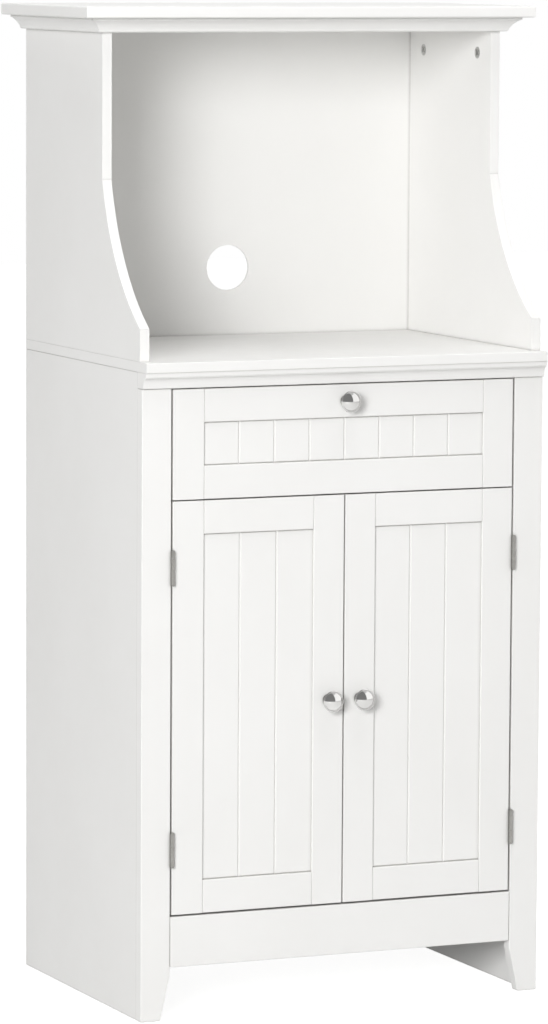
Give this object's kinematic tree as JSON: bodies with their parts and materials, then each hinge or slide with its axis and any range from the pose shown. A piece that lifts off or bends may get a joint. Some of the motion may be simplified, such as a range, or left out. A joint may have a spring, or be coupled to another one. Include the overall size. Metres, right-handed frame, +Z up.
{
  "type": "microwave cabinet",
  "caption": "Free-standing kitchen cabinet in painted board: a cupboard with grooved doors, a drawer above them, a worktop and an open bay for a microwave with curved sides and a moulded crown.",
  "frame": {"origin": "on the floor under the middle of the overall box, knobs included", "axes": "+Z up, the front with its doors and drawer faces -Y, +X to the right seen from the front"},
  "size_m": [0.63, 0.432, 1.282],
  "materials": {
    "painted_board": "satin white paint on fibreboard",
    "laminated_board": "matt white laminate on particle board",
    "back_board": "white faced hardboard",
    "zinc_cam": "die-cast zinc, dull",
    "plated_steel": "zinc plated",
    "beech_dowel": "bare fluted beech",
    "track_steel": "zinc plated, greased",
    "hinge_steel": "nickel plated",
    "catch_plastic": "moulded white plastic",
    "polished_knob": "polished nickel plate"
  },
  "bodies": {
    "cabinet": {"left_side_panel": "painted_board", "right_side_panel": "painted_board", "left_front_stile": "painted_board", "right_front_stile": "painted_board", "bottom_rail": "painted_board", "cabinet_floor": "laminated_board", "divider_panel": "laminated_board", "adjustable_shelf": "laminated_board", "shelf_pins": "plated_steel", "lower_back_panel": "back_board", "counter_top": "painted_board", "counter_moulding": "painted_board", "left_upper_side": "painted_board", "right_upper_side": "painted_board", "upper_back_panel": "back_board", "ceiling_board": "painted_board", "crown_board": "painted_board", "front_crown_moulding": "painted_board", "left_crown_moulding": "painted_board", "right_crown_moulding": "painted_board", "cam_locks": "zinc_cam", "cam_bolts": "plated_steel", "wood_dowels": "beech_dowel", "track_blocks": "laminated_board", "left_cabinet_track": "track_steel", "right_cabinet_track": "track_steel", "frame_hinge_leaves": "hinge_steel", "hinge_pins": "hinge_steel", "door_catches": "catch_plastic"},
    "drawer": {"drawer_stiles": "painted_board", "drawer_rails": "painted_board", "drawer_bead_panel": "painted_board", "drawer_box_front": "laminated_board", "drawer_left_side": "laminated_board", "drawer_right_side": "laminated_board", "drawer_back": "laminated_board", "drawer_bottom": "back_board", "left_drawer_track": "track_steel", "right_drawer_track": "track_steel", "drawer_knob": "polished_knob", "drawer_knob_screw": "plated_steel"},
    "left_cage": {"left_ball_cage": "track_steel"},
    "right_cage": {"right_ball_cage": "track_steel"},
    "left_door": {"left_door_stiles": "painted_board", "left_door_rails": "painted_board", "left_door_panel": "painted_board", "left_door_knob": "polished_knob", "left_door_knob_screw": "plated_steel", "left_door_hinge_leaves": "hinge_steel", "left_door_strike": "plated_steel"},
    "right_door": {"right_door_stiles": "painted_board", "right_door_rails": "painted_board", "right_door_panel": "painted_board", "right_door_knob": "polished_knob", "right_door_knob_screw": "plated_steel", "right_door_hinge_leaves": "hinge_steel", "right_door_strike": "plated_steel"}
  },
  "joints": [
    {"name": "drawer_slide", "type": "slide", "parent": "cabinet", "child": "drawer", "axis": [0, -1, 0], "range_m": [0, 0.225]},
    {"name": "left_cage_slide", "type": "slide", "parent": "cabinet", "child": "left_cage", "axis": [0, -1, 0], "range_m": [0, 0.1125]},
    {"name": "right_cage_slide", "type": "slide", "parent": "cabinet", "child": "right_cage", "axis": [0, -1, 0], "range_m": [0, 0.1125]},
    {"name": "left_door_hinge", "type": "hinge", "parent": "cabinet", "child": "left_door", "pos_m": [-0.2388, -0.1932, 0.3995], "axis": [0, 0, -1], "range_deg": [0, 170]},
    {"name": "right_door_hinge", "type": "hinge", "parent": "cabinet", "child": "right_door", "pos_m": [0.2388, -0.1932, 0.3995], "axis": [0, 0, 1], "range_deg": [0, 170]}
  ],
  "couplings": [
    {"joint": "left_cage_slide", "follows": "drawer_slide", "ratio": 0.5},
    {"joint": "right_cage_slide", "follows": "drawer_slide", "ratio": 0.5}
  ]
}
